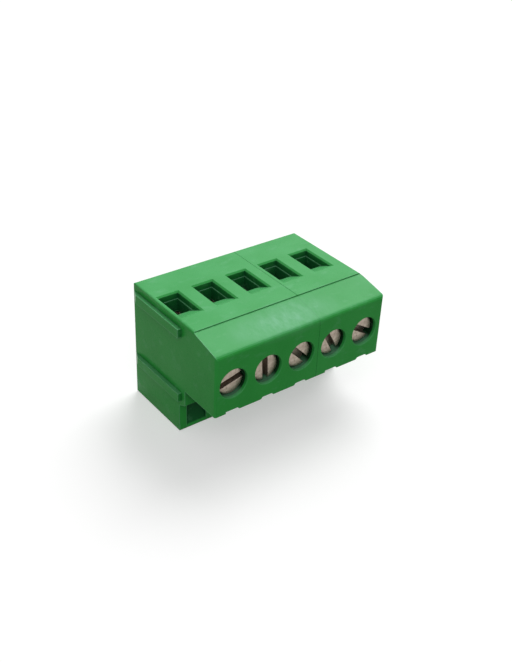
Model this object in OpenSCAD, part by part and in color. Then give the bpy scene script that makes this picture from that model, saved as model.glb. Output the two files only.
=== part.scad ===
// Pluggable screw terminal with five poles, wires in at the top, screws at the front and
// header pins in from below. A three-pole and a two-pole moulding are joined side by side
// by ribs in grooves. Each pole holds a rising cage clamp: the screw turns in place, and
// the cage threaded on it draws the wire against a fixed current bar.
//
// Frame: X along the row of poles, Y from the front to the back, Z up. The origin is on
// the base, on the axis of the middle pole's header pin.

/* [Poles] */
// Distance between neighbouring poles
pitch = 5.08; // [5:0.01:7.62]
// Extra wall that closes the right end of the last moulding
end_skin = 0.3; // [0.1:0.05:1]

/* [Moulded body] */
// Depth of the body from front face to back face
body_depth = 18.2; // [17.5:0.1:22]
// Height of the body from base to top plate
body_height = 16.6; // [16.2:0.1:20]
// Height at which the front face ends and its slope begins
front_top = 15.45; // [14.5:0.05:16]
// Distance from the front face to the crease where the slope meets the top plate
crease_y = 4.61; // [3:0.01:6]
// Height of the small step at the crease
crease_step = 0.14; // [0.05:0.01:0.3]
// Height of the narrower base below the overhanging front
base_height = 7; // [6.5:0.1:7.4]
// Distance from the front face to the front of the base
base_setback = 7.7; // [7:0.05:7.9]
// Distance from the front face to the shoulder above the base
shoulder_setback = 6.45; // [5.5:0.05:6.8]
// Height of the underside of the shoulder
shoulder_z = 4.8; // [4.6:0.1:5.4]
// Rounding of the lower moulded edges
edge_r = 0.16; // [0.05:0.01:0.3]
// Rounding round the end walls and along the top of the back
end_r = 0.35; // [0.1:0.01:0.5]
// Rounding of the edges where two mouldings meet
join_r = 0.05; // [0.02:0.01:0.2]
// Rounding between the front face and its slope
brow_r = 0.6; // [0.1:0.05:1]
// Width of the pocket in the front of the base at each pole
pocket_w = 2.9; // [2:0.1:4.2]
// Depth of that pocket at its top
pocket_depth = 1.3; // [0.5:0.05:1.35]
// Height of the lip left below the pocket
pocket_lip = 0.3; // [0.2:0.05:1]
// Height over which the end walls taper at the foot
taper_h = 1.9; // [0.5:0.1:3]
// How far the end walls draw in at the foot
foot_inset = 0.08; // [0.02:0.01:0.2]

/* [Relief under the overhang] */
// Width of the relief at its mouth
relief_w = 2.06; // [1:0.02:3]
// Depth of the relief
relief_depth = 0.36; // [0.1:0.02:0.6]

/* [Joining ribs] */
// Height of a joining rib
rib_h = 1.2; // [0.8:0.05:1.3]
// How far a rib stands out of the end wall
rib_out = 0.5; // [0.2:0.05:0.55]
// Height of the lower rib's middle
low_rib_z = 5.74; // [5:0.02:6.2]
// Height of the upper rib's middle
high_rib_z = 15.04; // [14.9:0.01:15.4]
// Distance from the front face to the front end of the ribs
rib_setback = 7.25; // [7:0.05:9]
// Length of the lead-in at the back end of a rib
rib_lead = 1.1; // [0.5:0.1:3]
// Clearance between a rib and its groove
rib_gap = 0.06; // [0.03:0.01:0.1]

/* [Wire entry] */
// Width of the funnel mouth
mouth_w = 2.84; // [2.4:0.02:3]
// Distance from a pole's axis to the left, to the middle of its mouth
mouth_offset = 0.46; // [0.2:0.02:0.5]
// Depth of the funnel above the throat
mouth_depth = 0.95; // [0.6:0.05:1.4]
// Chamfer round the rim of the mouth
mouth_bevel = 0.2; // [0.05:0.01:0.3]
// Length of the ramp in front of the current bar
ramp_run = 2.44; // [1:0.02:3]
// How far the front of the throat leans forward over the current bar
throat_lead = 0.3; // [0.1:0.02:0.6]
// Ledge round the throat
throat_ledge = 0.12; // [0.05:0.01:0.2]

/* [Screw] */
// Height of the screw axis above the base
screw_z = 11.1; // [11:0.02:11.3]
// Diameter of the screw head
head_d = 3.7; // [3.3:0.05:3.9]
// Thickness of the screw head
head_h = 1.7; // [1.3:0.05:2]
// Depth of the head face below the front face
head_recess = 0.72; // [0.4:0.02:1.2]
// Clearance round the head
head_gap = 0.1; // [0.05:0.01:0.2]
// Width of the driver slot
slot_w = 0.66; // [0.4:0.02:0.9]
// Depth of the driver slot
slot_depth = 0.9; // [0.5:0.05:1.1]
// Diameter of the threaded shank
shank_d = 2.9; // [2.4:0.05:3]
// Length of the shank below the head
shank_len = 7; // [6.6:0.05:7.6]
// Radial clearance of the shank in its bores
bore_gap = 0.05; // [0.02:0.01:0.09]
// Axial play of the screw between its seat and the current bar
end_play = 0.1; // [0.05:0.01:0.2]

/* [Clamp cage] */
// Width of the cage
cage_w = 3.9; // [3.7:0.05:3.96]
// Height of the cage
cage_h = 5.4; // [4.4:0.1:5.6]
// Thickness of each side wall of the cage
cage_side = 0.45; // [0.3:0.01:0.5]
// Thickness of the threaded wall
cage_nut = 1.6; // [1.2:0.05:1.8]
// Thickness of the wall that draws the wire in
cage_foot = 0.8; // [0.5:0.05:1.2]
// Outer corner radius of the cage
cage_r = 0.4; // [0.2:0.02:0.6]
// Running clearance of the cage in its chamber
cage_gap = 0.1; // [0.05:0.01:0.15]
// Wire space between the current bar and the open cage
wire_space = 3.15; // [3.1:0.05:3.6]
// Travel of the cage from open to closed
clamp_travel = 3; // [1:0.05:3]
// Space left in front of the closed cage
stop_gap = 0.5; // [0.3:0.05:0.8]

/* [Contact] */
// Thickness of the current bar
bar_t = 0.8; // [0.5:0.05:1]
// Thickness of the header pin that the contact takes
pin_t = 1; // [0.8:0.05:1.2]
// Outer width of the socket spring
socket_w = 2.9; // [2.6:0.05:2.95]
// Sheet thickness of the socket spring
socket_t = 0.25; // [0.2:0.01:0.35]
// Height of the socket's lower edge above the base
socket_foot = 1.4; // [0.8:0.1:2]
// Length of the socket spring along the pin
socket_len = 4.9; // [4:0.1:5]
// Space behind the pin for the bowed leaf and its sheet
leaf_space = 1.2; // [0.8:0.05:1.5]
// How far the bowed leaf reaches into the way of the pin
leaf_preload = 0.15; // [0.05:0.01:0.3]
// Clearance of the socket in its well
well_gap = 0.05; // [0.03:0.01:0.1]
// Depth of the grip grooves in the bar and the cage
grip_depth = 0.12; // [0.05:0.01:0.2]

/* [Hidden] */

round_fn = 64;
small_fn = 24;
arc_steps = 4;
// Overrun of every cut past the face that it opens
cut = 1;

// Poles of the left and the right moulding
left_poles = 3;
right_poles = 2;
// Angle of each screw's slot above the X direction, as the screws were left
SLOT_ANGLES = [14, -86, -45, -61, -31];

function pole_x(i) = (i - (left_poles + right_poles + 1) / 2) * pitch;

// Depths along the clamp, all counted from the front face
head_seat_y = head_recess + head_h + end_play;
shank_tip_y = head_recess + head_h + shank_len;
bar_front_y = shank_tip_y + end_play;
bar_back_y = bar_front_y + bar_t;
nut_gap = 0.15;
nut_back_y = bar_front_y - nut_gap;
nut_front_y = nut_back_y - cage_nut;
foot_front_y = bar_back_y + wire_space;
foot_back_y = foot_front_y + cage_foot;
chamber_front_y = nut_front_y - clamp_travel - stop_gap;

// Clamp chamber
chamber_w = cage_w + 2 * cage_gap;
chamber_floor = screw_z - cage_h / 2 - cage_gap;
chamber_roof = screw_z + cage_h / 2 + cage_gap;
bar_seat = 0.4;

// Wire entry
throat_top = body_height - mouth_depth;
throat_front_y = bar_back_y - throat_lead;
mouth_front_y = bar_back_y - ramp_run;
mouth_back_y = foot_front_y - throat_ledge;

// Contact and its well
pin_y = bar_back_y + pin_t / 2;
cage_play = 0.1;
bar_w = cage_w - 2 * cage_side - 2 * cage_play;
socket_back_y = bar_back_y + pin_t + leaf_space;
socket_front_y = bar_front_y + 0.1;
well_w = socket_w + 2 * well_gap;
well_front_y = bar_front_y - 0.1;
well_back_y = socket_back_y + 2 * well_gap;
tongue_w = socket_w - 2 * socket_t;
tongue_top = socket_foot + socket_len + 0.3;
shoulder_h = 1;
grip_pitch = 0.7;
leaf_w = 1.8;

// Everything is drawn from the front face and then set on the pin axis.
module place() {
    translate([0, -pin_y, 0]) children();
}

// ---- shared shapes ----

// Outline with each corner rounded by an arc of its own radius
function unit(v) = v / norm(v);
function corner_arc(before, at, after, r) =
    let (
        a = unit(before - at),
        b = unit(after - at),
        half = acos(a * b) / 2,
        reach = r / tan(half),
        centre = at + unit(a + b) * r / sin(half),
        from = at + a * reach - centre,
        to = at + b * reach - centre,
        sweep = 180 - 2 * half,
        side = sign(from[0] * to[1] - from[1] * to[0])
    )
    r == 0 ? [at] :
    [for (s = [0 : arc_steps])
        let (t = side * sweep * s / arc_steps)
        centre + [from[0] * cos(t) - from[1] * sin(t), from[0] * sin(t) + from[1] * cos(t)]];

function rounded_outline(corners) =
    let (n = len(corners))
    [for (i = [0 : n - 1])
        each corner_arc(
            [corners[(i + n - 1) % n][0], corners[(i + n - 1) % n][1]],
            [corners[i][0], corners[i][1]],
            [corners[(i + 1) % n][0], corners[(i + 1) % n][1]],
            corners[i][2])];

// Side outline in Y and Z, drawn out along X from x0 to x1
module along_x(x0, x1) {
    translate([x0, 0, 0]) rotate([90, 0, 90]) linear_extrude(x1 - x0) children();
}

// Front outline in X and Z, drawn out along Y from y0 to y1
module along_y(y0, y1) {
    translate([0, y1, 0]) rotate([90, 0, 0]) linear_extrude(y1 - y0) children();
}

// Block given by its lowest and highest corner
module block(low, high) {
    translate(low) cube(high - low);
}

// Rectangle with true round corners
module rounded_rect(low, high, r) {
    uneven_rect(low, high, r, r);
}

// Rectangle whose corners have one radius at its left side and another at its right
module uneven_rect(low, high, left_r, right_r) {
    translate([low[0] + left_r, low[1]])
        square([high[0] - low[0] - left_r - right_r, high[1] - low[1]]);
    translate([low[0], low[1] + left_r])
        square([high[0] - low[0] - right_r, high[1] - low[1] - 2 * left_r]);
    translate([low[0] + left_r, low[1] + right_r])
        square([high[0] - low[0] - left_r, high[1] - low[1] - 2 * right_r]);
    for (y = [low[1] + left_r, high[1] - left_r])
        translate([low[0] + left_r, y]) circle(left_r, $fn = small_fn);
    for (y = [low[1] + right_r, high[1] - right_r])
        translate([high[0] - right_r, y]) circle(right_r, $fn = small_fn);
}

// ---- moulded housings ----

side_corners = [
    [base_setback, 0, 2 * edge_r],
    [body_depth, 0, 2 * edge_r],
    [body_depth, body_height, end_r],
    [crease_y, body_height, 0],
    [crease_y, body_height - crease_step, 0],
    [0, front_top, brow_r],
    [0, base_height, edge_r],
    [shoulder_setback, base_height, 0],
    [shoulder_setback, shoulder_z, edge_r / 2],
    [base_setback, shoulder_z - (base_setback - shoulder_setback) / 2, 0]
];
pocket_top = side_corners[9][1];

// Solid body between two end faces, with the edges of each end rounded by their own radius
module shell(x0, x1, left_r, right_r) {
    intersection() {
        along_x(x0, x1) polygon(rounded_outline(side_corners));
        along_y(-cut, body_depth + cut)
            uneven_rect([x0, 0], [x1, body_height], left_r, right_r);
        union() {
            translate([0, 0, shoulder_z - cut]) linear_extrude(body_height)
                uneven_rect([x0, 0], [x1, body_depth], left_r, right_r);
            translate([0, 0, -cut]) linear_extrude(shoulder_z + cut)
                uneven_rect([x0, base_setback], [x1, body_depth], left_r, right_r);
            block([x0, shoulder_setback, 0], [x1, body_depth - cut, shoulder_z]);
        }
    }
}

// Rib on an end wall, rooted in it, with its back end tapered
module rib(x, z) {
    root = rib_out / 2;
    back = body_depth - end_r;
    translate([x, 0, z - rib_h / 2]) linear_extrude(rib_h)
        polygon([
            [root, rib_setback], [-rib_out, rib_setback],
            [-rib_out, back - rib_lead], [0, back], [root, back]
        ]);
}

module rib_groove(x, z) {
    block(
        [x - rib_out - rib_gap, rib_setback - rib_gap, z - rib_h / 2 - rib_gap],
        [x + cut, body_depth + cut, z + rib_h / 2 + rib_gap]);
}

// Wedge that draws an end wall in at its foot; side is -1 at the left and 1 at the right
module foot_taper(x, side) {
    along_y(-cut, body_depth + cut)
        polygon([
            [x - side * foot_inset * (taper_h + cut) / taper_h, -cut],
            [x + side * cut, -cut], [x + side * cut, taper_h], [x, taper_h]
        ]);
}

// Funnel, ramp and throat of one wire entry
module wire_entry(x) {
    left = x - mouth_offset - mouth_w / 2;
    right = left + mouth_w;
    slope = mouth_depth / (throat_front_y - mouth_front_y);
    rim_z = body_height - mouth_bevel;
    spread = mouth_bevel + cut;
    ramp_end_y = mouth_front_y - cut / slope;
    intersection() {
        along_x(left - spread, right + spread)
            polygon([
                [throat_front_y, throat_top], [mouth_back_y, throat_top],
                [mouth_back_y, rim_z], [mouth_back_y + spread, body_height + cut],
                [ramp_end_y, body_height + cut]
            ]);
        along_y(ramp_end_y, mouth_back_y + spread)
            polygon([
                [left, throat_top - cut], [right, throat_top - cut], [right, rim_z],
                [right + spread, body_height + cut], [left - spread, body_height + cut],
                [left, rim_z]
            ]);
    }
    along_x(left + throat_ledge, right - throat_ledge)
        polygon([
            [bar_back_y, screw_z], [mouth_back_y - throat_ledge, screw_z],
            [mouth_back_y - throat_ledge, throat_top + cut / 10],
            [throat_front_y, throat_top + cut / 10], [throat_front_y, throat_top],
            [bar_back_y, chamber_roof + bar_seat]
        ]);
}

// Counterbore for the head, bore for the shank and chamber for the cage, open at the back
module clamp_chamber(x) {
    rim_bevel = edge_r / 2;
    translate([x, 0, screw_z]) rotate([-90, 0, 0]) {
        translate([0, 0, -cut])
            cylinder(h = head_seat_y + cut, d = head_d + 2 * head_gap, $fn = round_fn);
        translate([0, 0, -rim_bevel])
            cylinder(
                h = 2 * rim_bevel,
                d1 = head_d + 2 * head_gap + 4 * rim_bevel,
                d2 = head_d + 2 * head_gap, $fn = round_fn);
        cylinder(h = chamber_front_y + cut, d = shank_d + 2 * bore_gap, $fn = round_fn);
    }
    block(
        [x - chamber_w / 2, chamber_front_y, chamber_floor],
        [x + chamber_w / 2, body_depth + cut, chamber_roof]);
}

// Well for the contact, open at the base, and the slot that holds the bar's top end
module contact_well(x) {
    block(
        [x - well_w / 2, well_front_y, -cut],
        [x + well_w / 2, well_back_y, screw_z]);
    block(
        [x - bar_w / 2 - cage_play, bar_front_y, screw_z],
        [x + bar_w / 2 + cage_play, bar_back_y, chamber_roof + bar_seat]);
}

// Sloping pocket in the front of the base
module base_pocket(x) {
    along_x(x - pocket_w / 2, x + pocket_w / 2)
        polygon([
            [base_setback - cut, pocket_lip], [base_setback, pocket_lip],
            [base_setback + pocket_depth, pocket_top], [base_setback - cut, pocket_top]
        ]);
}

// Relief in the underside of the overhang; the first of a moulding has a square left side
module overhang_relief(x, square_left) {
    half = relief_w / 2;
    left_top = square_left ? -half : -half + relief_depth;
    along_y(-cut, shoulder_setback)
        polygon([
            [x - half, base_height - cut], [x + half, base_height - cut],
            [x + half, base_height], [x + half - relief_depth, base_height + relief_depth],
            [x + left_top, base_height + relief_depth], [x - half, base_height]
        ]);
}

// Moulding that carries the poles from first to last
module housing(first, last, skin, left_r, right_r) {
    x0 = pole_x(first) - pitch / 2;
    x1 = pole_x(last) + pitch / 2 + skin;
    difference() {
        union() {
            shell(x0, x1, left_r, right_r);
            rib(x0, low_rib_z);
            rib(x0, high_rib_z);
        }
        rib_groove(x1, low_rib_z);
        rib_groove(x1, high_rib_z);
        foot_taper(x0, -1);
        foot_taper(x1, 1);
        for (i = [first : last]) {
            wire_entry(pole_x(i));
            clamp_chamber(pole_x(i));
            contact_well(pole_x(i));
            base_pocket(pole_x(i));
            overhang_relief(pole_x(i), i == first);
        }
    }
}

module housing_3_pole() {
    color([0.17, 0.52, 0.27]) place() housing(1, left_poles, 0, end_r, join_r);
}

module housing_2_pole() {
    color([0.2, 0.56, 0.3]) place()
        housing(left_poles + 1, left_poles + right_poles, end_skin, join_r, end_r);
}

// ---- clamping screw ----

// The shank is the thread's outer cylinder with a chamfered tip.
module screw(i) {
    rim = 0.15;
    tip = 0.35;
    color([0.75, 0.72, 0.67]) place() translate([pole_x(i), head_recess, screw_z])
        rotate([-90, -SLOT_ANGLES[i - 1], 0])
            difference() {
                union() {
                    cylinder(h = rim, d1 = head_d - 2 * rim, d2 = head_d, $fn = round_fn);
                    translate([0, 0, rim]) cylinder(h = head_h - rim, d = head_d, $fn = round_fn);
                    cylinder(h = head_h + shank_len - tip, d = shank_d, $fn = round_fn);
                    translate([0, 0, head_h + shank_len - tip])
                        cylinder(h = tip, d1 = shank_d, d2 = shank_d - 2 * tip, $fn = round_fn);
                }
                block([-head_d, -slot_w / 2, -cut], [head_d, slot_w / 2, slot_depth]);
            }
}

// ---- clamp cage ----

// Grip groove across X, cut into a face at depth y and seen from the wire space
module grip_grooves(x, width, y, inward) {
    for (k = [-2 : 2])
        translate([0, 0, screw_z + k * grip_pitch])
            along_x(x - width / 2, x + width / 2)
                polygon([
                    [y - inward * cut / 10, -grip_depth], [y, -grip_depth],
                    [y + inward * grip_depth, 0], [y, grip_depth],
                    [y - inward * cut / 10, grip_depth]
                ]);
}

module cage(i) {
    x = pole_x(i);
    window_r = cage_r / 2;
    entry_bevel = cage_foot / 3;
    color([0.72, 0.66, 0.5]) place() difference() {
        translate([0, 0, screw_z - cage_h / 2]) linear_extrude(cage_h) difference() {
            rounded_rect(
                [x - cage_w / 2, nut_front_y], [x + cage_w / 2, foot_back_y], cage_r);
            rounded_rect(
                [x - cage_w / 2 + cage_side, nut_back_y],
                [x + cage_w / 2 - cage_side, foot_front_y], window_r);
        }
        translate([x, nut_front_y - cut, screw_z]) rotate([-90, 0, 0])
            cylinder(h = cage_nut + 2 * cut, d = shank_d + 2 * bore_gap, $fn = round_fn);
        grip_grooves(x, cage_w - 2 * cage_side - 2 * window_r, foot_front_y, 1);
        along_x(x - cage_w / 2 + cage_side, x + cage_w / 2 - cage_side)
            polygon([
                [foot_front_y - cut / 10, screw_z + cage_h / 2 + cut],
                [foot_front_y - cut / 10, screw_z + cage_h / 2 - entry_bevel],
                [foot_front_y, screw_z + cage_h / 2 - entry_bevel],
                [foot_front_y + entry_bevel, screw_z + cage_h / 2],
                [foot_front_y + entry_bevel, screw_z + cage_h / 2 + cut]
            ]);
    }
}

// ---- contact ----

// Stamped bar: a plate that the wire is drawn against, shoulders that seat in the well
// and a tongue that the header pin runs along
module current_bar(i) {
    x = pole_x(i);
    tip = tongue_w / 4;
    color([0.8, 0.76, 0.66]) place() difference() {
        along_y(bar_front_y, bar_back_y) translate([x, 0]) polygon([
            [-tongue_w / 2 + tip, socket_foot - tip], [tongue_w / 2 - tip, socket_foot - tip],
            [tongue_w / 2, socket_foot], [tongue_w / 2, tongue_top],
            [well_w / 2, tongue_top], [well_w / 2, tongue_top + shoulder_h],
            [bar_w / 2, tongue_top + shoulder_h], [bar_w / 2, chamber_roof + bar_seat],
            [-bar_w / 2, chamber_roof + bar_seat], [-bar_w / 2, tongue_top + shoulder_h],
            [-well_w / 2, tongue_top + shoulder_h], [-well_w / 2, tongue_top],
            [-tongue_w / 2, tongue_top], [-tongue_w / 2, socket_foot]
        ]);
        grip_grooves(x, bar_w + cut, bar_back_y, -1);
    }
}

// Height profile of the bowed leaf: it touches the back wall at both ends and comes
// nearest to the tongue in the middle
leaf_steps = 16;
leaf_reach = leaf_space - socket_t + leaf_preload;
function leaf_y(t) = socket_back_y - socket_t - leaf_reach * (1 - cos(360 * t)) / 2;
function leaf_point(t, back) =
    [leaf_y(t) + back, socket_foot + socket_len * (0.04 + 0.92 * t)];

// Folded spring channel round the tongue, with the bowed leaf that presses on the pin
module socket_spring(i) {
    x = pole_x(i);
    color([0.62, 0.6, 0.58]) place() {
        translate([0, 0, socket_foot]) linear_extrude(socket_len) difference() {
            union() {
                rounded_rect(
                    [x - socket_w / 2, bar_back_y], [x + socket_w / 2, socket_back_y],
                    2 * socket_t);
                translate([x - socket_w / 2, socket_front_y])
                    square([socket_w, bar_back_y - socket_front_y + 3 * socket_t]);
            }
            translate([x - tongue_w / 2, socket_front_y - cut])
                square([tongue_w, socket_back_y - socket_t - socket_front_y + cut]);
        }
        along_x(x - leaf_w / 2, x + leaf_w / 2)
            polygon(concat(
                [for (s = [0 : leaf_steps]) leaf_point(s / leaf_steps, 0)],
                [for (s = [leaf_steps : -1 : 0]) leaf_point(s / leaf_steps, socket_t)]
            ));
    }
}

housing_3_pole();
housing_2_pole();
for (i = [1 : left_poles + right_poles]) {
    screw(i);
    cage(i);
    current_bar(i);
    socket_spring(i);
}
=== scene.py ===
"""Looks of the pluggable screw terminal: moulded green polyamide, plated screws, cages and contacts."""

import math
from functools import partial

import bpy
from mathutils import Matrix, Vector


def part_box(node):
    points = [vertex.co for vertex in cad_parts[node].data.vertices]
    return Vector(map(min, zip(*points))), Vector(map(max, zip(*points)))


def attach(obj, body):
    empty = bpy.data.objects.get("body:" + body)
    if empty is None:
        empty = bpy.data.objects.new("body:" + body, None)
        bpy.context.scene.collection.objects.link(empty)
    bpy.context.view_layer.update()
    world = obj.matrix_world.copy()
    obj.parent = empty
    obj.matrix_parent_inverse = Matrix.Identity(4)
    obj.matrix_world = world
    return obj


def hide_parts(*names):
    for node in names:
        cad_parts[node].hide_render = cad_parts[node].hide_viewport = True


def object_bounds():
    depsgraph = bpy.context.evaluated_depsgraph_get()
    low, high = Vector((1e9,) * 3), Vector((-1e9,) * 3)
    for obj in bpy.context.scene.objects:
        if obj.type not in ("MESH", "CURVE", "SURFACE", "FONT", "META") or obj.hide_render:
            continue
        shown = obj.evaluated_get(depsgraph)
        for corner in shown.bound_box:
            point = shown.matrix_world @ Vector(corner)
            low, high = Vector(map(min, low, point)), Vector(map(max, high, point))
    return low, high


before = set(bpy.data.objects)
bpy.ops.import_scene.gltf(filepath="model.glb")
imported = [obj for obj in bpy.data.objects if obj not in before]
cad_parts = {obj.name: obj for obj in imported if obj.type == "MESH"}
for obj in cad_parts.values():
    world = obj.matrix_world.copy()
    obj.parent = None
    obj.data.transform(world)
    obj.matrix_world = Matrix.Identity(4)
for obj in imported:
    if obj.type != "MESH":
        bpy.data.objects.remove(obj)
cad_low, cad_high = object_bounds()

MM = 0.001
POLES = range(1, 6)

# Screws: the width of the head, the axis and the length come from each CAD screw.
HEAD_H = 1.7 * MM
HEAD_RIM = 0.16 * MM
HEAD_CROWN = 0.03 * MM
HEAD_BACK_EDGE = 0.05 * MM
HEAD_SIDES = 96
SLOT_W = 0.82 * MM
SLOT_DEPTH = 0.9 * MM
SLOT_CHAMFER = 0.03 * MM
# Degrees from the X axis up to each slot, as the photo shows the screws
SLOT_ANGLES = (14, -86, -45, -61, -31)
THREAD_PITCH = 0.5 * MM
CREST_R = 1.44 * MM
ROOT_R = 1.17 * MM
# Shares of the pitch that the flat root and the two flanks take; the flat crest has the rest
ROOT_FLAT = 0.12
FLANKS = 0.72
# Length over which the thread rises from the root under the head
RUN_OUT = 1.2 * THREAD_PITCH
# Length of the chamfered tip, and how much its radius falls for each unit of that length
TIP_LENGTH = 0.4 * MM
TIP_TAPER = 0.8
# Length of the shank inside the head, which joins the two
SHANK_OVERLAP = 0.05 * MM
SHANK_SIDES = 40
RINGS_PER_PITCH = 12

# Reach of the welds that close the imported solids and the cut and joined screws
CAD_WELD = 0.0005 * MM
SCREW_WELD = 0.002 * MM


# ---- node helpers ----

def new_material(name):
    """A node material with its tree, principled shader and object coordinates."""
    mat = bpy.data.materials.new(name)
    mat.use_nodes = True
    tree = mat.node_tree
    tree.nodes.clear()
    out = tree.nodes.new("ShaderNodeOutputMaterial")
    shader = tree.nodes.new("ShaderNodeBsdfPrincipled")
    coords = tree.nodes.new("ShaderNodeTexCoord")
    tree.links.new(shader.outputs["BSDF"], out.inputs["Surface"])
    return mat, tree, shader, coords.outputs["Object"]


def noise(tree, vector, scale, detail, roughness=0.5):
    """Fractal noise, mostly between 0.3 and 0.7."""
    node = tree.nodes.new("ShaderNodeTexNoise")
    node.inputs["Scale"].default_value = scale
    node.inputs["Detail"].default_value = detail
    node.inputs["Roughness"].default_value = roughness
    tree.links.new(vector, node.inputs["Vector"])
    return node.outputs["Fac"]


def stretch(tree, vector, scale):
    """Coordinates for a pattern that is longer along the axes with a smaller scale."""
    node = tree.nodes.new("ShaderNodeMapping")
    node.inputs["Scale"].default_value = scale
    tree.links.new(vector, node.inputs["Vector"])
    return node.outputs["Vector"]


def measured_from(tree, vector, centre, size):
    """Coordinates counted from centre, with size as 1 along each axis."""
    node = tree.nodes.new("ShaderNodeMapping")
    node.inputs["Location"].default_value = [-c / s for c, s in zip(centre, size)]
    node.inputs["Scale"].default_value = [1 / s for s in size]
    tree.links.new(vector, node.inputs["Vector"])
    return node.outputs["Vector"]


def axes(tree, vector):
    """The X, Y and Z of a vector."""
    split = tree.nodes.new("ShaderNodeSeparateXYZ")
    tree.links.new(vector, split.inputs[0])
    return [split.outputs[axis] for axis in "XYZ"]


def spread(tree, value, low, high, from_low=0.3, from_high=0.7):
    """Maps a value onto low to high and stops there; its own range is that of noise unless given."""
    node = tree.nodes.new("ShaderNodeMapRange")
    ends = {"From Min": from_low, "From Max": from_high, "To Min": low, "To Max": high}
    for name, number in ends.items():
        node.inputs[name].default_value = number
    tree.links.new(value, node.inputs["Value"])
    return node.outputs["Result"]


def mix_colours(tree, value, one, two):
    """Colour between one and two; each is three numbers or another node's colour."""
    node = tree.nodes.new("ShaderNodeMix")
    node.data_type = "RGBA"
    for socket, colour in ((6, one), (7, two)):
        if isinstance(colour, tuple):
            node.inputs[socket].default_value = (*colour, 1)
        else:
            tree.links.new(colour, node.inputs[socket])
    tree.links.new(value, node.inputs[0])
    return node.outputs[2]


def maths(tree, operation, one, two=0):
    """One step of arithmetic; each side is a number or another node's value."""
    node = tree.nodes.new("ShaderNodeMath")
    node.operation = operation
    for socket, value in enumerate((one, two)):
        if isinstance(value, (int, float)):
            node.inputs[socket].default_value = value
        else:
            tree.links.new(value, node.inputs[socket])
    return node.outputs[0]


def product(tree, one, two):
    """Share of a share; each side is a number or another node's value."""
    return maths(tree, "MULTIPLY", one, two)


def occlusion(tree, reach, inside):
    """How open the surface is within reach, on its outer side or on its inner one."""
    node = tree.nodes.new("ShaderNodeAmbientOcclusion")
    node.inside = inside
    node.only_local = True
    node.samples = 8
    node.inputs["Distance"].default_value = reach
    return node.outputs["AO"]


def near_edges(tree, reach):
    """1 on a sharp outer edge, falling to 0 about reach away from it."""
    return spread(tree, occlusion(tree, reach, inside=True), 1, 0, from_low=0.55, from_high=0.95)


def in_recess(tree, reach):
    """0 in the open, rising to 1 deep in a hole or a corner about as wide as reach."""
    return spread(tree, occlusion(tree, reach, inside=False), 1, 0, from_low=0.3, from_high=0.85)


def faces_up(tree, low, high, least=0):
    """1 where the surface faces up, least where it doesn't; low and high are heights of its normal."""
    coords = tree.nodes.new("ShaderNodeTexCoord")
    height = axes(tree, coords.outputs["Normal"])[2]
    return spread(tree, height, least, 1, from_low=low, from_high=high)


def off_plane(tree, vector, x, near, far):
    """0 within near of a plane across the X axis, 1 beyond far from it."""
    across = axes(tree, vector)[0]
    gap = maths(tree, "ABSOLUTE", maths(tree, "SUBTRACT", across, x))
    return spread(tree, gap, 0, 1, from_low=near, from_high=far)


def in_box(tree, vector, low, high):
    """1 inside a box of the frame, 0 outside it, with a short change at its faces."""
    middle = [(a + b) / 2 for a, b in zip(low, high)]
    half = [(b - a) / 2 for a, b in zip(low, high)]
    ways = axes(tree, measured_from(tree, vector, middle, half))
    x, y, z = [maths(tree, "ABSOLUTE", way) for way in ways]
    most = maths(tree, "MAXIMUM", maths(tree, "MAXIMUM", x, y), z)
    return spread(tree, most, 1, 0, from_low=0.9, from_high=1)


def near_point(tree, vector, centre, size, fade=1.0):
    """1 near a point of the frame, falling to 0 at the surface of an ellipsoid round it.

    The fall takes up the outer share, fade, of the way.
    """
    length = tree.nodes.new("ShaderNodeVectorMath")
    length.operation = "LENGTH"
    tree.links.new(measured_from(tree, vector, centre, size), length.inputs[0])
    return spread(tree, length.outputs["Value"], 1, 0, from_low=1 - fade, from_high=1)


def beside_heads(tree, vector, far, near):
    """1 on the screw holes' walls beside the heads, 0 on the rest of the housing.

    It starts far in front of the heads' faces and is full near in front of them. The screws stand
    at equal steps, so the way to the closest axis is folded from the way to the first one.
    """
    low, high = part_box("screw_1")
    axis = (low + high) / 2
    step = abs(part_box("screw_2")[0].x - low.x)
    reach = (high.x - low.x) / 2 + HOLE_SPARE
    x, y, z = axes(tree, vector)
    across = maths(tree, "PINGPONG", maths(tree, "SUBTRACT", x, axis.x), step / 2)
    up = maths(tree, "SUBTRACT", z, axis.z)
    squares = maths(tree, "ADD", product(tree, across, across), product(tree, up, up))
    in_hole = maths(tree, "LESS_THAN", squares, reach ** 2)
    before_seat = maths(tree, "LESS_THAN", y, low.y + HEAD_H)
    deep = spread(tree, y, 0, 1, from_low=low.y - far, from_high=low.y - near)
    return product(tree, product(tree, in_hole, before_seat), deep)


def bump(tree, height, distance, strength, under=None):
    """Normal of a surface with this relief, on top of the relief under it."""
    node = tree.nodes.new("ShaderNodeBump")
    node.inputs["Strength"].default_value = strength
    node.inputs["Distance"].default_value = distance
    tree.links.new(height, node.inputs["Height"])
    if under is not None:
        tree.links.new(under, node.inputs["Normal"])
    return node.outputs["Normal"]


# ---- polyamide ----

# Pale green of the painted sheen, the painted edge highlights and the wear; deep green of the painted
# shade where little light gets in, also used for the darker joint line; near black of the painted shadow
# beside the screw heads
GREEN_SHEEN_AND_WEAR = (0.2, 0.52, 0.3)
GREEN_SHADE_AND_JOINT = (0.006, 0.09, 0.025)
GREEN_PAINTED_SHADOW = (0.001, 0.012, 0.004)
# Centre and half size of each pale patch: on the slope a scuff that also carries painted sheen, and at
# the left end of the base a scuff
SCUFFS_AND_SHEEN = (
    ((-1.5 * MM, -9.0 * MM, 16 * MM), (9 * MM, 3.2 * MM, 2 * MM)),
    ((-12.8 * MM, 6.9 * MM, 1.5 * MM), (0.6 * MM, 0.8 * MM, 1.2 * MM)),
)
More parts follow.
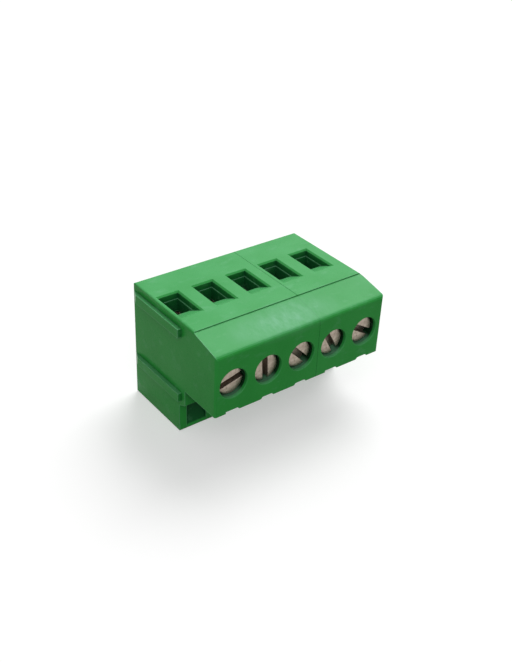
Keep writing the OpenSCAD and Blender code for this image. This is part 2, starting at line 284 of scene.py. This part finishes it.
# Box round the pockets in the front of the base, where painted shade darkens the colour
BASE_POCKETS = ((-12.5 * MM, -3.05 * MM, 0.3 * MM), (12.8 * MM, -1.6 * MM, 5.2 * MM))
# What lies this near to a screw head, level with it, is the wall of its hole
HOLE_SPARE = 0.4 * MM
# Plane in which the two mouldings meet
JOINT_X = (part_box("screw_3")[0].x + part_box("screw_4")[1].x) / 2


def sheen_and_wear_on_faces(tree, vector, cloud, marks):
    """Share of pale colour on the faces: painted sheen on those that face up, small wear marks and the
    patches.
    """
    top = faces_up(tree, low=0.6, high=0.85)
    # Painted sheen: faces that face up are lightened, as the light falls on them
    painted_sheen = product(tree, top, spread(tree, cloud, 0.24, 0.34))
    painted_light_and_wear = maths(tree, "ADD", painted_sheen, spread(tree, marks, 0, 0.3, from_low=0.56, from_high=0.8))
    streaks = noise(tree, stretch(tree, vector, (1, 0.5, 0.5)), scale=1100, detail=6, roughness=0.7)
    streaks = spread(tree, streaks, 0.25, 0.8, from_low=0.35, from_high=0.7)
    # Pale patches; the one on the slope is partly a painted sheen
    for centre, size in SCUFFS_AND_SHEEN:
        patch = product(tree, near_point(tree, vector, centre, size), streaks)
        painted_light_and_wear = maths(tree, "ADD", painted_light_and_wear, patch)
    return painted_light_and_wear


def edge_highlights(tree, vector, marks):
    """Share of painted highlight along the edges, broken up by the wear marks, most where they face up
    and none along the joint.
    """
    painted_light_and_wear = product(tree, near_edges(tree, reach=0.15 * MM), spread(tree, marks, 0.6, 1))
    # Painted highlight: edges that face up get most of it, as the light falls from above
    painted_light_and_wear = product(tree, painted_light_and_wear, faces_up(tree, low=-0.3, high=0.4, least=0.25))
    return product(tree, painted_light_and_wear, off_plane(tree, vector, JOINT_X, near=0.15 * MM, far=0.4 * MM))


def moulded_colour_and_shade(tree, vector, cloud, dark, light):
    """Clouded colour with painted shade in holes and in the base's pockets, painted shadow on the hole
    walls beside the screw heads, and a darker line at the joint.
    """
    off_joint = off_plane(tree, vector, JOINT_X, near=0.03 * MM, far=0.08 * MM)
    painted_shade_and_joint = (
        # Painted shade deep in holes and corners, and in the base's pockets
        (in_recess(tree, reach=7 * MM), 1, GREEN_SHADE_AND_JOINT),
        (in_box(tree, vector, *BASE_POCKETS), 0.9, GREEN_SHADE_AND_JOINT),
        (maths(tree, "SUBTRACT", 1, off_joint), 0.3, GREEN_SHADE_AND_JOINT),
        # Painted shadow in the gap between each screw head and its hole's wall
        (beside_heads(tree, vector, far=0.36 * MM, near=0.24 * MM), 0.95, GREEN_PAINTED_SHADOW),
    )
    colour = mix_colours(tree, spread(tree, cloud, 0, 1), dark, light)
    for place, share, shade in painted_shade_and_joint:
        colour = mix_colours(tree, product(tree, place, share), colour, shade)
    return colour


def polyamide(name, dark, light):
    """Moulded polyamide: fine grain, flow clouding, painted sheen on top faces, painted highlights along
    the edges with wear, and painted shade in deep recesses.
    """
    mat, tree, shader, vector = new_material(name)
    cloud = noise(tree, vector, scale=230, detail=3)
    marks = noise(tree, stretch(tree, vector, (1, 1.6, 1.6)), scale=420, detail=6, roughness=0.65)
    grain = noise(tree, vector, scale=8000, detail=4, roughness=0.6)
    # Painted sheen and edge highlights, together with the wear marks
    painted_light_and_wear = maths(tree, "MAXIMUM", sheen_and_wear_on_faces(tree, vector, cloud, marks),
                 edge_highlights(tree, vector, marks))
    colour = mix_colours(tree, painted_light_and_wear, moulded_colour_and_shade(tree, vector, cloud, dark, light), GREEN_SHEEN_AND_WEAR)
    relief = bump(tree, cloud, distance=0.08 * MM, strength=0.2)
    relief = bump(tree, grain, distance=0.02 * MM, strength=0.3, under=relief)
    tree.links.new(colour, shader.inputs["Base Color"])
    tree.links.new(spread(tree, grain, 0.24, 0.36), shader.inputs["Roughness"])
    tree.links.new(relief, shader.inputs["Normal"])
    shader.inputs["Specular IOR Level"].default_value = 0.05
    return mat


# ---- metals ----

def metal(name, dark, light, rough, grain_scale, grain_stretch):
    """Plated metal: clouded plating over a fine grain that runs one way."""
    mat, tree, shader, vector = new_material(name)
    cloud = noise(tree, vector, scale=1600, detail=5, roughness=0.6)
    grain = noise(tree, stretch(tree, vector, grain_stretch), grain_scale, detail=4, roughness=0.6)
    colour = mix_colours(tree, spread(tree, cloud, 0, 1), dark, light)
    relief = bump(tree, grain, distance=0.01 * MM, strength=0.35)
    tree.links.new(colour, shader.inputs["Base Color"])
    tree.links.new(spread(tree, grain, rough - 0.08, rough + 0.1), shader.inputs["Roughness"])
    tree.links.new(relief, shader.inputs["Normal"])
    shader.inputs["Metallic"].default_value = 1.0
    return mat


def lathe_rings(tree, vector):
    """Fine rings round the Y axis."""
    rings = tree.nodes.new("ShaderNodeTexWave")
    rings.wave_type = "RINGS"
    rings.rings_direction = "Y"
    rings.inputs["Scale"].default_value = 2600
    rings.inputs["Distortion"].default_value = 1.5
    tree.links.new(vector, rings.inputs["Vector"])
    return rings.outputs["Fac"]


def turned_steel(name, dark, light, pit_and_shade):
    """Plated steel off a lathe: rings, mottled plating, small dark pits, and painted shade in the slot
    and other hollows.
    """
    mat, tree, shader, vector = new_material(name)
    cloud = noise(tree, vector, scale=2200, detail=6, roughness=0.65)
    pits = noise(tree, vector, scale=5200, detail=3, roughness=0.6)
    pits = spread(tree, pits, 0.85, 0, from_low=0.3, from_high=0.42)
    colour = mix_colours(tree, spread(tree, cloud, 0, 1), dark, light)
    colour = mix_colours(tree, pits, colour, pit_and_shade)
    # Painted shade: the slot and other hollows darken towards the pit colour
    colour = mix_colours(tree, in_recess(tree, reach=0.8 * MM), colour, pit_and_shade)
    relief = bump(tree, lathe_rings(tree, vector), distance=0.008 * MM, strength=0.3)
    relief = bump(tree, cloud, distance=0.03 * MM, strength=0.35, under=relief)
    tree.links.new(colour, shader.inputs["Base Color"])
    tree.links.new(spread(tree, cloud, 0.5, 0.36), shader.inputs["Roughness"])
    tree.links.new(relief, shader.inputs["Normal"])
    shader.inputs["Metallic"].default_value = 1.0
    return mat


GREEN_LEFT = polyamide("green_left", dark=(0.03, 0.34, 0.053), light=(0.037, 0.375, 0.063))
GREEN_RIGHT = polyamide("green_right", dark=(0.032, 0.345, 0.056), light=(0.039, 0.38, 0.066))
STEEL = turned_steel("screw_steel", dark=(0.3, 0.24, 0.19), light=(0.46, 0.395, 0.33),
                     pit_and_shade=(0.09, 0.07, 0.055))
CAGE = metal("cage_metal", dark=(0.6, 0.56, 0.47), light=(0.72, 0.68, 0.58),
             rough=0.3, grain_scale=6000, grain_stretch=(1, 6, 1))
CONTACT = metal("contact_metal", dark=(0.66, 0.62, 0.54), light=(0.78, 0.75, 0.68),
                rough=0.28, grain_scale=7000, grain_stretch=(1, 1, 6))
SPRING = metal("spring_steel", dark=(0.5, 0.49, 0.47), light=(0.62, 0.61, 0.6),
               rough=0.3, grain_scale=7000, grain_stretch=(1, 1, 6))


# ---- CAD pieces ----

def dress(node, material, bevel=0):
    """Gives a CAD node its material, and softens its sharp edges unless its solid has them rounded."""
    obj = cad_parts[node]
    obj.data.materials.clear()
    obj.data.materials.append(material)
    weld(obj, CAD_WELD)
    if bevel:
        soften(obj, bevel)


def weld(obj, reach):
    """Joins points that lie within reach of each other."""
    join = obj.modifiers.new("weld", "WELD")
    join.merge_threshold = reach


def soften(obj, width):
    """Rounds the sharp edges a little."""
    soft = obj.modifiers.new("bevel", "BEVEL")
    soft.width = width
    soft.segments = 2
    soft.limit_method = "ANGLE"
    soft.angle_limit = math.radians(35)
    soft.harden_normals = True


dress("housing_3_pole", GREEN_LEFT)
dress("housing_2_pole", GREEN_RIGHT)
for i in POLES:
    dress(f"cage_{i}", CAGE, bevel=0.05 * MM)
    dress(f"current_bar_{i}", CONTACT, bevel=0.03 * MM)
    dress(f"socket_spring_{i}", SPRING, bevel=0.02 * MM)


# ---- screws ----

def link(name, verts, faces):
    """A new object in the scene with this mesh."""
    mesh = bpy.data.meshes.new(name)
    mesh.from_pydata(verts, [], faces)
    obj = bpy.data.objects.new(name, mesh)
    bpy.context.scene.collection.objects.link(obj)
    return obj


def ring(radius, y, count):
    """Points round the Y axis; radius is a number or a function of the angle."""
    turn = [2 * math.pi * k / count for k in range(count)]
    at = radius if callable(radius) else lambda angle: radius
    return [(at(a) * math.cos(a), y, at(a) * math.sin(a)) for a in turn]


def skin(rings):
    """Closed surface through rings of equal count, with a cap at each end."""
    count = len(rings[0])
    verts = [v for one in rings for v in one]
    faces = [list(range(count))]
    for r in range(len(rings) - 1):
        for k in range(count):
            n = (k + 1) % count
            faces.append([r * count + k, (r + 1) * count + k, (r + 1) * count + n, r * count + n])
    last = (len(rings) - 1) * count
    faces.append(list(range(last + count - 1, last - 1, -1)))
    return verts, faces


def combine(obj, other, operation):
    """Cuts other out of obj or joins it on, and leaves one clean mesh."""
    solid = obj.modifiers.new("solid", "BOOLEAN")
    solid.operation = operation
    solid.solver = "EXACT"
    solid.object = other
    weld(obj, SCREW_WELD)
    graph = bpy.context.evaluated_depsgraph_get()
    mesh = bpy.data.meshes.new_from_object(obj.evaluated_get(graph))
    obj.modifiers.clear()
    obj.data = mesh
    bpy.data.objects.remove(other)


def plain_head(name, radius):
    """Cheese head with a rounded rim and a slightly crowned face, which starts at Y = 0."""
    inner = radius - HEAD_RIM
    profile = [(0.4 * radius, 0), (0.8 * radius, 0), (inner, HEAD_CROWN)]
    for t in (math.radians(22.5 * k) for k in range(1, 5)):
        profile.append((inner + HEAD_RIM * math.sin(t), HEAD_CROWN + HEAD_RIM * (1 - math.cos(t))))
    profile += [(radius, HEAD_H - HEAD_BACK_EDGE), (radius - HEAD_BACK_EDGE, HEAD_H)]
    return link(name, *skin([ring(r, y, HEAD_SIDES) for r, y in profile]))


def slot_cutter(name, reach, angle):
    """Bar across the Y axis with the section of a chamfered slot, which it also fills in front."""
    mouth = SLOT_W / 2 + SLOT_CHAMFER
    shallow, deep = SLOT_CHAMFER / 3, 1.4 * SLOT_CHAMFER
    half = [(-SLOT_DEPTH, mouth), (shallow, mouth), (deep, SLOT_W / 2), (SLOT_DEPTH, SLOT_W / 2)]
    section = [(y, -z) for y, z in half] + half[::-1]
    cutter = link(name, *skin([[(x, y, z) for y, z in section] for x in (reach, -reach)]))
    cutter.data.transform(Matrix.Rotation(-math.radians(angle), 4, "Y"))
    return cutter


def thread_radius(phase):
    """Radius of a V thread with flats; phase runs from 0 to 1 over one pitch, crest to crest."""
    rise = abs(2 * (phase % 1) - 1)
    rise = min(max((rise - ROOT_FLAT) / FLANKS, 0), 1)
    return ROOT_R + (CREST_R - ROOT_R) * rise


def threaded_shank(name, length):
    """Right-hand threaded shank from the head's underside to a chamfered tip."""
    start, end = HEAD_H - SHANK_OVERLAP, length

    def radius(y, angle):
        full = thread_radius(y / THREAD_PITCH + angle / (2 * math.pi))
        grown = min((y - start) / RUN_OUT, 1)
        tip = CREST_R - max(0, y - (end - TIP_LENGTH)) * TIP_TAPER
        return min(ROOT_R + (full - ROOT_R) * grown, tip)

    steps = int((end - start) / THREAD_PITCH * RINGS_PER_PITCH)
    heights = [start + (end - start) * s / steps for s in range(steps + 1)]
    return link(name, *skin([ring(partial(radius, y), y, SHANK_SIDES) for y in heights]))


def screw(i):
    """Detailed screw in place of the CAD one, on its axis and in its box."""
    low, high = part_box(f"screw_{i}")
    centre = (low + high) / 2
    radius = (high.x - low.x) / 2
    name = f"slotted_screw_{i}"
    body = plain_head(name, radius)
    combine(body, slot_cutter(name + "_slot", 1.2 * radius, SLOT_ANGLES[i - 1]), "DIFFERENCE")
    combine(body, threaded_shank(name + "_shank", high.y - low.y), "UNION")
    for poly in body.data.polygons:
        poly.use_smooth = True
    body.data.set_sharp_from_angle(angle=math.radians(40))
    body.data.materials.clear()
    body.data.materials.append(STEEL)
    body.location = (centre.x, low.y, centre.z)
    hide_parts(f"screw_{i}")
    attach(body, f"screw_{i}")


for i in POLES:
    screw(i)


# ---- stage, light and camera ----

FLOOR_HALF = 3.0
FLOOR_DROP = 0.02 * MM
# The floor goes over into the backdrop on the outer share, FLOOR_FADE, of the way to FLOOR_SEEN
FLOOR_SEEN = 0.7
FLOOR_FADE = 0.8
# Point that both lamps face, in the middle of the block
AIM = Vector((0, 0, 8 * MM))


def seen_ray(tree):
    """1 for rays from the camera, mirror-like reflections and see-through surfaces, else 0."""
    path = tree.nodes.new("ShaderNodeLightPath")
    value = path.outputs["Is Camera Ray"]
    for name in ("Is Glossy Ray", "Is Transmission Ray"):
        value = maths(tree, "MAXIMUM", value, path.outputs[name])
    return value


def white_world(fill):
    """Even studio fill, with plain white behind the object."""
    world = bpy.data.worlds.new("studio")
    world.use_nodes = True
    tree = world.node_tree
    tree.nodes.clear()
    out = tree.nodes.new("ShaderNodeOutputWorld")
    mix = tree.nodes.new("ShaderNodeMixShader")
    tree.links.new(seen_ray(tree), mix.inputs[0])
    for socket, strength in ((1, fill), (2, 1.0)):
        light = tree.nodes.new("ShaderNodeBackground")
        light.inputs["Color"].default_value = (1, 1, 1, 1)
        light.inputs["Strength"].default_value = strength
        tree.links.new(light.outputs[0], mix.inputs[socket])
    tree.links.new(mix.outputs[0], out.inputs["Surface"])
    bpy.context.scene.world = world


def floor(seen, glow, bounced):
    """White floor just below the base.

    What is seen of it glows a little, which lightens the shadow, and far off it only glows, so
    that it meets the white backdrop without a line. It gives back less light than it shows.
    """
    s = FLOOR_HALF
    obj = link("floor", [(-s, -s, 0), (s, -s, 0), (s, s, 0), (-s, s, 0)], [(0, 1, 2, 3)])
    obj.location.z = cad_low.z - FLOOR_DROP
    mat, tree, shader, vector = new_material("floor")
    seen_here = seen_ray(tree)
    close = near_point(tree, vector, (0, 0, 0), (FLOOR_SEEN,) * 3, FLOOR_FADE)
    shade = noise(tree, vector, scale=40, detail=2)
    white = mix_colours(tree, shade, (seen - 0.01,) * 3, (seen,) * 3)
    white = mix_colours(tree, close, (0, 0, 0), white)
    light = mix_colours(tree, close, (1, 1, 1), (glow,) * 3)
    tree.links.new(mix_colours(tree, seen_here, (bounced,) * 3, white), shader.inputs["Base Color"])
    tree.links.new(mix_colours(tree, seen_here, (0, 0, 0), light), shader.inputs["Emission Color"])
    shader.inputs["Emission Strength"].default_value = 1.0
    shader.inputs["Roughness"].default_value = 1.0
    shader.inputs["Specular IOR Level"].default_value = 0.0
    obj.data.materials.append(mat)


def lamp(name, place, size, watts):
    """Square lamp that faces the block."""
    data = bpy.data.lights.new(name, "AREA")
    data.shape = "SQUARE"
    data.size = size
    data.energy = watts
    obj = bpy.data.objects.new(name, data)
    bpy.context.scene.collection.objects.link(obj)
    obj.location = place
    obj.rotation_mode = "QUATERNION"
    obj.rotation_quaternion = (AIM - Vector(place)).to_track_quat("-Z", "Y")


def camera(place, right, up, lens):
    """Camera at a place, turned by the directions of the picture's right and up."""
    obj = bpy.data.objects.new("camera", bpy.data.cameras.new("camera"))
    bpy.context.scene.collection.objects.link(obj)
    obj.data.sensor_width = 36
    obj.data.lens = lens
    obj.data.clip_start, obj.data.clip_end = 0.001, 20
    right, up = Vector(right), Vector(up)
    turn = Matrix((right, up, right.cross(up))).transposed().to_4x4()
    turn.translation = Vector(place)
    obj.matrix_world = turn
    bpy.context.scene.camera = obj


white_world(fill=0.3)
floor(seen=0.62, glow=0.42, bounced=0.16)
lamp("key", place=(0.74, 0.45, 1.1), size=0.9, watts=15.2)
lamp("fill", place=(-0.65, -0.8, 0.95), size=1.0, watts=6)
# Fitted to the outline of the block in the photo
camera(place=(-62.968 * MM, -81.368 * MM, 75.009 * MM), right=(0.79979, -0.59897, 0.03961),
       up=(0.29741, 0.45271, 0.84059), lens=51.14)
bpy.context.scene.view_settings.view_transform = "Standard"
